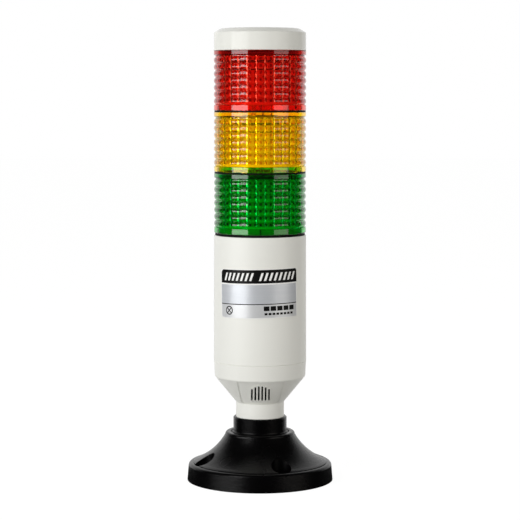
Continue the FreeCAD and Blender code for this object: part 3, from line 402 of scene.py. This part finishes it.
def lens_section():
    """Closed outline as (radius, height, mark) in millimetres; the mark says what moves a point."""
    rib_round = ((rib_pitch / 2) ** 2 + RIB_DEPTH ** 2) / (2 * RIB_DEPTH)
    valley = lens_radius - RIB_DEPTH
    bore = SPIGOT + FIT
    lip = SPIGOT - SPIGOT_WALL
    lug_low = step + LUG_RISE
    lug_high = lug_low + LUG_THICK
    track = LUG_RISE + LUG_THICK + LUG_GAP
    flute_top = band_top - FLUTE_TOP_WALL
    outline = [(bore, 0.0, "track"), (lens_radius - EDGE, 0.0, "front"),
               (lens_radius, EDGE, "front"), (lens_radius, SKIRT, "front"), (valley, RIB_FOOT, "")]
    here = (valley, RIB_FOOT)
    for rib in range(1, RIBS + 1):
        there = (valley, RIB_FOOT + rib * rib_pitch)
        outline += [(*point, "") for point in arc(here, there, rib_round, POINTS_PER_RIB)]
        here = there
    outline += [(valley, rib_top + GROOVE, ""), (lens_radius, band_low, ""),
                (lens_radius, band_top - EDGE, ""), (lens_radius - EDGE, band_top, ""),
                (SPIGOT, band_top, ""), (SPIGOT, lug_low, ""), (SPIGOT, lug_low, "lug"),
                (SPIGOT, lug_high, "lug"), (SPIGOT, lug_high, ""),
                (SPIGOT, lens_top - CHAMFER, "notch"), (SPIGOT - CHAMFER, lens_top, "notch"),
                (lip, lens_top, "notch"), (lip, flute_top, ""),
                (0.0, flute_top, "flute"), (0.0, floor_top, "flute"),
                (bore, floor_top, ""), (bore, track, ""), (bore, track, "track")]
    return outline


section = lens_section()
print(f"lens section: {len(section)} points")


# %% [markdown]
# ## Coloured lens plastic
# The lenses are clear polycarbonate, dyed through.  Light from all round goes in, bends at
# every rib and comes back off the white lamp carrier, which is why an unlit lens looks
# bright and deep at once.  A transmitting Principled shader does that.  Where the upper
# slope of a rib crosses the shoulder of a flute the real wall throws light sideways and
# goes dark, and near the foot of each rib it gathers light.  Both places are far smaller
# than the wall is thick, so there the colour carries painted shade, two dark spots to a
# flute, and painted light, a paler zone near each rib's foot.  The plain band over the ribs
# has painted shade of its own, for the dark foot of the next tier behind it, and the spigot
# has a dye of its own, because it is thin and pale.

# %% Lens plastic
# Each colour holds its body dye and a paler spigot dye, together with painted light and shade: a paler
# colour for painted light near the foot of each rib, a dark one for the painted shade of the spots, and
# a darker band colour for painted shade from the dark foot of the next tier behind it.
DYES_AND_PAINTED_LIGHT = {
    "green": {"body": (0.0, 0.44, 0.03), "rib_foot_painted_light": (0.0, 0.74, 0.07), "deep": (0.0, 0.02, 0.002),
              "band": (0.0, 0.22, 0.02), "spigot": (0.10, 0.95, 0.04)},
    "amber": {"body": (0.998, 0.69, 0.002), "rib_foot_painted_light": (1.0, 0.80, 0.008), "deep": (0.68, 0.19, 0.0),
              "band": (0.98, 0.58, 0.001), "spigot": (0.99, 0.78, 0.008)},
    "red": {"body": (0.88, 0.055, 0.024), "rib_foot_painted_light": (0.96, 0.12, 0.07), "deep": (0.16, 0.002, 0.001),
            "band": (0.42, 0.01, 0.006), "spigot": (0.90, 0.11, 0.06)},
}
DYE_CLOUD_SCALE = 60.0
DYE_DRIFT = 0.04
LENS_ROUGHNESS = 0.03
LENS_IOR = 1.58
# Where the painted shade of the spots and the painted light near each rib's foot lie.
SPOT_TURNS = 2 * FLUTES       # dark spots all round
SPOT_DEPTH = 2.6
SPOT_HIGH = 0.635             # middle and half height of a spot, in rib pitches
SPOT_TALL = 0.24
SPOT_WIDE = 0.28              # its half width, in spots
GLOW_HIGH = 0.14              # middle and half height of the painted light, in rib pitches
GLOW_TALL = 0.30
OUTER_WALL = 26.3 * MM        # only faces outside this radius carry spots


def lens_plastic(colour, dye_and_painted_light):
    """Clear dyed plastic.  Lamp and bounce light passes it straight, tinted once a wall."""
    finish = Finish(f"lens_{colour}")
    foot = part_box(f"{colour}_lens")[0].z / MM
    across, ahead, high = finish.axes(finish.place())
    up = high / MM - foot
    ribs = up.between(RIB_FOOT, rib_top)
    rib = ((up - RIB_FOOT) / rib_pitch).part()
    # Painted light: a paler colour near the foot of each rib, where the wall gathers light.
    glow_off = (rib - GLOW_HIGH) / GLOW_TALL
    glow = (1.0 - glow_off * glow_off).over(0.0) * ribs
    # Painted shade: two dark spots to a flute, on the upper slope of each rib.
    turns = across.turn_from(ahead * -1.0) / (2 * math.pi) * SPOT_TURNS
    turn = (turns + SPOT_TURNS + 0.5).part() - 0.5
    spot_off = (rib - SPOT_HIGH) / SPOT_TALL
    spot_turn = turn / SPOT_WIDE
    outside = (across * across + ahead * ahead).root() > OUTER_WALL
    spot = (1.0 - spot_off * spot_off - spot_turn * spot_turn).over(0.0) * ribs * outside
    paler = tuple(part * (1.0 - DYE_DRIFT) for part in dye_and_painted_light["body"])
    shade = finish.blend(finish.noise(DYE_CLOUD_SCALE), paler, dye_and_painted_light["body"])
    shade = finish.blend(glow, shade, dye_and_painted_light["rib_foot_painted_light"])
    shade = finish.blend(spot * SPOT_DEPTH, shade, dye_and_painted_light["deep"])
    # Painted shade on the plain band, for the dark foot of the next tier behind it.
    shade = finish.blend(up.between(band_low, band_top), shade, dye_and_painted_light["band"])
    shade = finish.blend(up > band_top, shade, dye_and_painted_light["spigot"])
    plastic = finish.node("ShaderNodeBsdfPrincipled", inputs={
        "Base Color": shade, "Roughness": LENS_ROUGHNESS, "IOR": LENS_IOR, "Transmission Weight": 1.0})
    tint = tuple(math.sqrt(part) for part in dye_and_painted_light["body"])
    open_way = finish.node("ShaderNodeBsdfTransparent", inputs={"Color": (*tint, 1.0)})
    path = finish.node("ShaderNodeLightPath").outputs()
    straight = path["Is Shadow Ray"] + path["Is Diffuse Ray"]
    return finish.close(finish.node("ShaderNodeMixShader", inputs={
        0: straight, 1: plastic, 2: open_way}))


lens_plastics = {colour: lens_plastic(colour, dye_and_painted_light) for colour, dye_and_painted_light in DYES_AND_PAINTED_LIGHT.items()}
print(f"lens plastics: {', '.join(lens_plastics)}")


# %% [markdown]
# ## From section to ring
# The rule is one node tree with named inputs.  It makes a grid with as many rows as the
# section has points, samples the section row by row, and bends the grid round the axis.
# The marks of the section come along as attributes: a fluted point moves out to its flute's
# arc, a lugged one at three places only, and so on.  The tree runs once for each colour on
# that lens's own section, and the result is kept as a plain mesh.

# %% Lens rule as a node tree
MARKS = ("flute", "lug", "notch", "front", "track")
MERGE = 0.002 * MM


class Shape(Tree):
    """A Geometry Nodes tree with named inputs."""

    def __init__(self, name, inputs):
        group = bpy.data.node_groups.new(name, "GeometryNodeTree")
        super().__init__(group)
        group.interface.new_socket("Geometry", in_out="INPUT", socket_type="NodeSocketGeometry")
        group.interface.new_socket("Geometry", in_out="OUTPUT", socket_type="NodeSocketGeometry")
        self.keys = {}
        for label, kind in inputs.items():
            socket = group.interface.new_socket(label, in_out="INPUT", socket_type=kind)
            self.keys[label] = socket.identifier
        self.given = self.node("NodeGroupInput").outputs()

    def result(self, geometry):
        self.node("NodeGroupOutput", inputs={0: geometry})


def lens_rule():
    """Bends a grid into a ring whose every column is the section, moved by its marks."""
    shape = Shape("lens_rule", {
        "Columns": "NodeSocketInt", "Flutes": "NodeSocketInt", "Flute round": "NodeSocketFloat",
        "Flute centre": "NodeSocketFloat", "Lug proud": "NodeSocketFloat",
        "Lug half angle": "NodeSocketFloat", "Track deep": "NodeSocketFloat",
        "Track turn": "NodeSocketFloat", "Notch deep": "NodeSocketFloat",
        "Front groove": "NodeSocketFloat", "Plastic": "NodeSocketMaterial"})
    given = shape.given
    count = shape.node("GeometryNodeAttributeDomainSize", inputs={"Geometry": given["Geometry"]})
    grid = shape.node("GeometryNodeMeshGrid", inputs={
        "Size X": 1.0, "Size Y": 1.0,
        "Vertices X": given["Columns"] + 1.0, "Vertices Y": count + 1.0})
    spot = shape.node("ShaderNodeSeparateXYZ", inputs={
        "Vector": shape.node("GeometryNodeInputPosition")}).outputs()
    row = ((spot["Y"] + 0.5) * count + 0.25).whole()
    index = row.left_of(count)
    around = spot["X"] + 0.5

    def sampled(kind, value):
        """What the section holds at this row's point."""
        return shape.node("GeometryNodeSampleIndex", {"data_type": kind}, {
            "Geometry": given["Geometry"], "Value": value, "Index": index})

    point = shape.node("ShaderNodeSeparateXYZ", inputs={
        "Vector": sampled("FLOAT_VECTOR", shape.node("GeometryNodeInputPosition"))}).outputs()
    mark = {name: sampled("FLOAT", shape.node("GeometryNodeInputNamedAttribute", inputs={
        "Name": name})) for name in MARKS}
    cell = (around * given["Flutes"] + 0.5).part() - 0.5
    lean = cell * (2 * math.pi) / given["Flutes"]
    side = given["Flute centre"] * lean.sine()
    flute = given["Flute centre"] * lean.cosine() + (
        given["Flute round"] * given["Flute round"] - side * side).root()
    off_lug = ((around * LUGS).part() - 0.5) * (2 * math.pi / LUGS)
    is_lug = abs(off_lug) < given["Lug half angle"]
    off_track = off_lug + given["Track turn"] / 2.0
    is_track = abs(off_track) < given["Lug half angle"] + given["Track turn"] / 2.0
    off_front = abs((around + 0.5).part() - 0.5) * (2 * math.pi)
    is_front = off_front < FRONT_HALF_TURN
    radius = (point["X"] + mark["flute"] * flute + mark["lug"] * is_lug * given["Lug proud"]
              + mark["track"] * is_track * given["Track deep"]
              - mark["front"] * is_front * given["Front groove"])
    height = point["Z"] - mark["notch"] * is_front * given["Notch deep"]
    angle = around * (2 * math.pi) - math.pi / 2
    bent = shape.node("ShaderNodeCombineXYZ", inputs={
        "X": radius * angle.cosine(), "Y": radius * angle.sine(), "Z": height})
    ring = shape.node("GeometryNodeSetPosition", inputs={"Geometry": grid, "Position": bent})
    closed = shape.node("GeometryNodeMergeByDistance", inputs={"Geometry": ring, "Distance": MERGE})
    smooth = shape.node("GeometryNodeSetShadeSmooth", inputs={"Geometry": closed})
    real = shape.node("GeometryNodeRealizeInstances", inputs={"Geometry": smooth})
    shape.result(shape.node("GeometryNodeSetMaterial", inputs={
        "Geometry": real, "Material": given["Plastic"]}))
    return shape


rule = lens_rule()
print(f"lens rule: {len(rule.tree.nodes)} nodes")


# %% Plain meshes from the rule
SHARP = math.radians(30.0)


def made_by(shape, name, source, values):
    """Runs a node tree on a source mesh and returns the result as a plain mesh object."""
    seed = bpy.data.objects.new(name + "_seed", source)
    bpy.context.scene.collection.objects.link(seed)
    modifier = seed.modifiers.new("rule", "NODES")
    modifier.node_group = shape.tree
    for label, value in values.items():
        modifier[shape.keys[label]] = value
    evaluated = seed.evaluated_get(bpy.context.evaluated_depsgraph_get())
    mesh = bpy.data.meshes.new_from_object(evaluated)
    bpy.data.objects.remove(seed)
    mesh.set_sharp_from_angle(angle=SHARP)
    piece = bpy.data.objects.new(name, mesh)
    bpy.context.scene.collection.objects.link(piece)
    return piece


def section_mesh(outline, foot):
    """The section as loose points, with one attribute for each mark."""
    mesh = bpy.data.meshes.new("lens_section")
    mesh.from_pydata([(r * MM, 0.0, z * MM + foot) for r, z, _ in outline], [], [])
    for name in MARKS:
        layer = mesh.attributes.new(name, "FLOAT", "POINT")
        layer.data.foreach_set("value", [1.0 if mark == name else 0.0 for _, _, mark in outline])
    return mesh


for colour, plastic in lens_plastics.items():
    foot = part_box(f"{colour}_lens")[0].z
    lens = made_by(rule, f"{colour}_ribbed_lens", section_mesh(section, foot), {
        "Columns": FLUTES * COLUMNS_PER_FLUTE, "Flutes": FLUTES, "Flute round": FLUTE_ROUND * MM,
        "Flute centre": (FLUTE_OUTER - FLUTE_ROUND) * MM, "Lug proud": LUG_PROUD * MM,
        "Lug half angle": math.radians(LUG_HALF_TURN), "Track turn": math.radians(TRACK_TURN),
        "Track deep": (LUG_PROUD + LUG_GAP - FIT) * MM, "Notch deep": NOTCH_DEEP * MM,
        "Front groove": FRONT_GROOVE * MM, "Plastic": plastic})
    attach(lens, f"{colour}_tier")
    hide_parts(f"{colour}_lens")
    low = min(vertex.co.z for vertex in lens.data.vertices)
    high = max(vertex.co.z for vertex in lens.data.vertices)
    print(f"{lens.name}: {len(lens.data.polygons)} faces, {low / MM:.1f} to {high / MM:.1f} mm")

# %% [markdown]
# ## Nameplate
# The plate is silver foil, printed in black and stuck to the tube.  It carries no words:
# a black field with slanted white bars at the top, a bare silver field for the owner's own
# mark, and a foot with the sign for a lamp and two rows of bars.  The print follows the
# plate round the tube, so widths are measured along the curve: a Mapping node brings the
# pattern to the plate's middle and tilt, and the angle round the tube gives the rest.

# %% Printed foil
TUBE = 28.2                   # mm, radius that the print follows
PLATE_MIDDLE = 117.25 * MM    # height of the print's middle
PLATE_SHIFT = -0.9 * MM
PLATE_TILT = 1.05             # degrees
PLATE_HALF = 22.35            # mm, half the plate's straight width
PLATE_HALF_TALL = 14.4
PRINT_HALF = 26.6             # mm along the curve, like all widths of the print
PRINT_TOP = 14.5
PRINT_ROUND = 2.4             # corners
HEAD_LOW = 6.35               # lower edge of the black field
HAIRLINE = 0.75               # the pale line under it
FOOT_TOP = -6.4
RULE_LINE = 0.5               # the dark line over the foot
BARS = (8.0, 12.7)            # lower and upper end of the slanted bars
BAR_PITCH = 2.95
BAR_FILL = (0.24, 0.70)       # share of each pitch that is white
BAR_LEAN = 0.35
BAR_MIDDLE = 10.0
BAR_GROUPS = ((-8, -1), (0, 8))   # where the two groups start and end, in pitches
LAMP_AT = (-19.8, -10.0)
LAMP_RING = (2.05, 2.7)
LAMP_CROSS = 2.2
LAMP_STROKE = 0.42
SILVER = ((0.66, 0.69, 0.73), (0.74, 0.76, 0.79))
FOOT_SILVER = (0.78, 0.79, 0.80)
PAPER = (0.88, 0.88, 0.86)
INK = (0.004, 0.004, 0.004)
BRUSH_SCALE = 900.0
BRUSH_STRETCH = (0.04, 0.04, 1.0)
BARE_METAL = 0.38
BARE_ROUGHNESS = 0.34
PRINT_ROUGHNESS = 0.40
INK_DEPTH = 0.01 * MM


def bar_row(wide, high, heights, ends, pitch, fill):
    """1 on a row of upright bars that fill so much of each pitch."""
    bars = ((wide - ends[0]) / pitch).part() < fill
    return high.between(*heights) * wide.between(*ends) * bars


def lamp_sign(wide, high):
    """More than 0 on a ring with a cross in it, the sign for a lamp."""
    across = wide - LAMP_AT[0]
    up = high - LAMP_AT[1]
    away = (across * across + up * up).root()
    cross = (abs(across - up) < LAMP_STROKE) + (abs(across + up) < LAMP_STROKE)
    return away.between(*LAMP_RING) + cross * (away < LAMP_CROSS)


def printed_foil():
    """Silver foil with a black head, a pale hairline, slanted bars, a lamp sign and two rows."""
    finish = Finish("printed_foil")
    laid = finish.node("ShaderNodeMapping", {"vector_type": "TEXTURE"}, {
        "Vector": finish.place(), "Location": (PLATE_SHIFT, 0.0, PLATE_MIDDLE),
        "Rotation": (0.0, -math.radians(PLATE_TILT), 0.0)})
    side, ahead, up = finish.axes(laid)
    wide = side.turn_from(ahead * -1.0) * TUBE
    high = up / MM
    past_side = (abs(wide) - (PRINT_HALF - PRINT_ROUND)).over(0.0)
    past_end = (abs(high) - (PRINT_TOP - PRINT_ROUND)).over(0.0)
    cornered = (past_side * past_side + past_end * past_end).root() < PRINT_ROUND
    inside = (abs(side / MM) < PLATE_HALF) * (abs(high) < PLATE_HALF_TALL) * cornered

    head = (high > HEAD_LOW) * cornered
    slant = wide - (high - BAR_MIDDLE) * BAR_LEAN
    bars = (slant / BAR_PITCH).part().between(*BAR_FILL) * high.between(*BARS)
    left, right = (slant.between(start * BAR_PITCH, end * BAR_PITCH) for start, end in BAR_GROUPS)
    white_bars = head * bars * (left + right)
    hairline = high.between(HEAD_LOW - HAIRLINE, HEAD_LOW)
    rule_line = high.between(FOOT_TOP, FOOT_TOP + RULE_LINE)
    thick_row = bar_row(wide, high, heights=(-10.2, -7.4), ends=(2.6, 22.6), pitch=4.1, fill=0.84)
    thin_row = bar_row(wide, high, heights=(-12.7, -11.4), ends=(3.0, 22.0), pitch=2.4, fill=0.74)
    ink = (lamp_sign(wide, high) + thick_row + thin_row + rule_line) * inside
    dark = ((ink > 0.5) + head - white_bars) > 0.5
    paper = (hairline + (1.0 - inside) + white_bars) > 0.5

    brushed = finish.noise(BRUSH_SCALE, 3.0, finish.node("ShaderNodeMapping", inputs={
        "Vector": finish.place(), "Scale": BRUSH_STRETCH}))
    silver = finish.blend(high < FOOT_TOP, finish.blend(brushed, *SILVER), FOOT_SILVER)
    printed = finish.blend(dark, finish.blend(paper, silver, PAPER), INK)
    bare = 1.0 - ((dark + paper) > 0.5)
    roughness = PRINT_ROUGHNESS + bare * (BARE_ROUGHNESS - PRINT_ROUGHNESS)
    return finish.surface(Base_Color=printed, Metallic=bare * BARE_METAL, Roughness=roughness,
                          Normal=finish.bump(dark, INK_DEPTH), Specular_IOR_Level=0.2)


foil = printed_foil()
plate_low, plate_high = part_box("nameplate")
plate = (plate_high - plate_low) / MM
print(f"nameplate {plate.x:.1f} x {plate.z:.1f} mm")

# %% [markdown]
# ## Dressing the solid model's own pieces
# Where a solid already has the right shape it stays, and only its finish changes.

# %% Which piece has which finish
FINISHES = {
    base_black: ["base_stand"],
    nut_black: ["clamp_nut"],
    plated_steel: ["clamp_washer", "terminal_screws"],
    ivory_satin: ["body_tube"],
    ivory_cover: ["bottom_cover"],
    ivory_gloss: ["top_cap"],
    seal_rubber: ["neck_gasket", "cover_oring", "body_seal", "green_seal", "amber_seal"],
    seal_pale: ["cap_seal"],
    buzzer_black: ["buzzer_case", "contact_header", "driver_chips"],
    contact_brass: ["buzzer_diaphragm", "header_pins", "body_contact_tracks"],
    lead_red: ["buzzer_leads"],
    carrier_white: ["board_carrier", "buzzer_socket", "supply_module"],
    foil: ["nameplate"],
    board_green: ["control_board", "body_contact_board"],
    terminal_green: ["terminal_block"],
    capacitor_black: ["capacitors"],
}
TIER_FINISHES = {
    "lamp_carrier": carrier_white, "led_board": board_white, "leds": led_clear,
    "contact_pins": contact_brass, "contact_board": board_green, "contact_tracks": contact_brass,
}
for colour in DYES_AND_PAINTED_LIGHT:
    for part, finish in TIER_FINISHES.items():
        FINISHES.setdefault(finish, []).append(f"{colour}_{part}")
for finish, names in FINISHES.items():
    for name in names:
        nodes[name].data.materials.clear()
        nodes[name].data.materials.append(finish)
dressed = {name for names in FINISHES.values() for name in names}
undressed = set(nodes) - dressed - {f"{colour}_lens" for colour in DYES_AND_PAINTED_LIGHT}
print(f"{len(dressed)} pieces dressed; pieces without a finish: {sorted(undressed)}")

# %% [markdown]
# ## Studio
# The tower stands on a white table with a wide softbox on either side in front of it: a
# strong one on the left, brighter in its upper half and so made of two, and a weaker, warmer
# one on the right.  A small one high on the left draws the sheen on the black foot.  The
# edges of the softboxes draw the crisp upright strips in the glossy cap and lenses.  Table
# and background show pure white to the eye, while mirroring faces and the view through a
# lens meet a white that fades from behind the tower to its front.

# %% Floor and world
WHITE = (1.0, 1.0, 1.0, 1.0)
FLOOR_WHITE = (0.62, 0.62, 0.61, 1.0)
FLOOR_REACH = 6.0             # m
FLOOR_SEEN = 0.80             # share of the floor's look that is its own glow
FLOOR_GLOW = 1.18
AMBIENT = 0.42
BACK_FROM = 0.50              # how far a way points back where the white starts and is full
BACK_FULL = 0.72
FRONT_GLOSS = 0.02            # level that mirroring faces meet in front
THROUGH_FROM = 0.05           # the same for the view through a lens
THROUGH_FULL = 0.60
THROUGH_FRONT = 0.30


def behind(tree, ahead, start, full, front):
    """A level that rises from its value in front of the tower to 1 behind it."""
    return tree.node("ShaderNodeMapRange", {"interpolation_type": "SMOOTHSTEP"}, {
        "Value": ahead, "From Min": start, "From Max": full, "To Min": front, "To Max": 1.0})


def surround(tree, path, ahead):
    """What reflections and the view through a lens meet, and the share of rays that do.

    A ray through glass is also marked as glossy, so the two are told apart here.
    """
    through = path["Is Transmission Ray"]
    mirrored = path["Is Glossy Ray"] * (1.0 - through)
    glow = (mirrored * behind(tree, ahead, BACK_FROM, BACK_FULL, FRONT_GLOSS)
            + through * behind(tree, ahead, THROUGH_FROM, THROUGH_FULL, THROUGH_FRONT))
    return glow, mirrored + through


def white_floor():
    """A pale sheet that takes the tower's shadow and glows a little by itself."""
    finish = Finish("floor_white")
    across, ahead, _ = finish.axes(finish.place())
    reach = (across * across + ahead * ahead).root().over(MM)
    path = finish.node("ShaderNodeLightPath").outputs()
    glow, mirrored = surround(finish, path, ahead / reach)
    seen = path["Is Camera Ray"]
    sheet = finish.node("ShaderNodeBsdfDiffuse", inputs={"Color": FLOOR_WHITE})
    light = finish.node("ShaderNodeEmission", inputs={
        "Color": WHITE, "Strength": seen * FLOOR_GLOW + glow})
    return finish.close(finish.node("ShaderNodeMixShader", inputs={
        0: seen * FLOOR_SEEN + mirrored, 1: sheet, 2: light}))


corners = [(-FLOOR_REACH, -FLOOR_REACH, 0.0), (FLOOR_REACH, -FLOOR_REACH, 0.0),
           (FLOOR_REACH, FLOOR_REACH, 0.0), (-FLOOR_REACH, FLOOR_REACH, 0.0)]
floor_mesh = bpy.data.meshes.new("floor")
floor_mesh.from_pydata(corners, [], [(0, 1, 2, 3)])
floor_mesh.materials.append(white_floor())
floor = bpy.data.objects.new("floor", floor_mesh)
bpy.context.scene.collection.objects.link(floor)

world = bpy.data.worlds.new("studio")
world.use_nodes = True
bpy.context.scene.world = world
sky = Tree(world.node_tree)
ahead = sky.node("ShaderNodeSeparateXYZ", inputs={
    "Vector": sky.node("ShaderNodeTexCoord", output="Generated")}, output=1)
path = sky.node("ShaderNodeLightPath").outputs()
seen = path["Is Camera Ray"]
glow, mirrored = surround(sky, path, ahead)
level = seen + glow + (1.0 - seen - mirrored) * AMBIENT
back = sky.node("ShaderNodeBackground", inputs={"Color": WHITE, "Strength": level})
sky.node("ShaderNodeOutputWorld", inputs={"Surface": back})
print(f"floor {2 * FLOOR_REACH:.0f} m wide under a white world")


# %% Softboxes
DISTANCE = 1.2                # m from the tower's axis


def softbox(name, azimuth, elevation, middle, radiance, width, height, colour=(1.0, 1.0, 1.0)):
    """Rectangle of light that faces the tower's axis at the height middle.

    Angles are in degrees, with the azimuth from the front and positive to the right.
    """
    lamp = bpy.data.lights.new(name, "AREA")
    lamp.shape = "RECTANGLE"
    lamp.size = width
    lamp.size_y = height
    lamp.color = colour
    lamp.energy = radiance * math.pi * width * height
    box = bpy.data.objects.new(name, lamp)
    bpy.context.scene.collection.objects.link(box)
    turn, lift = math.radians(azimuth), math.radians(elevation)
    out = DISTANCE * math.cos(lift)
    box.location = (out * math.sin(turn), -out * math.cos(turn), middle + DISTANCE * math.sin(lift))
    box.rotation_euler = (math.pi / 2 - lift, 0.0, turn)
    print(f"{name}: {width} x {height} m, {lamp.energy:.1f} W")


softbox("left_low", azimuth=-53.0, elevation=0.0, middle=0.16, radiance=4.3, width=0.97, height=0.28)
softbox("left_high", azimuth=-53.0, elevation=0.0, middle=0.40, radiance=6.4, width=0.97, height=0.20)
softbox("left_top", azimuth=-45.0, elevation=36.0, middle=0.05, radiance=8.0, width=0.30, height=0.26)
softbox("right_softbox", azimuth=53.6, elevation=0.0, middle=0.385, radiance=1.6, width=0.87,
        height=0.73, colour=(1.0, 0.95, 0.88))
bpy.context.scene.view_settings.view_transform = "Standard"
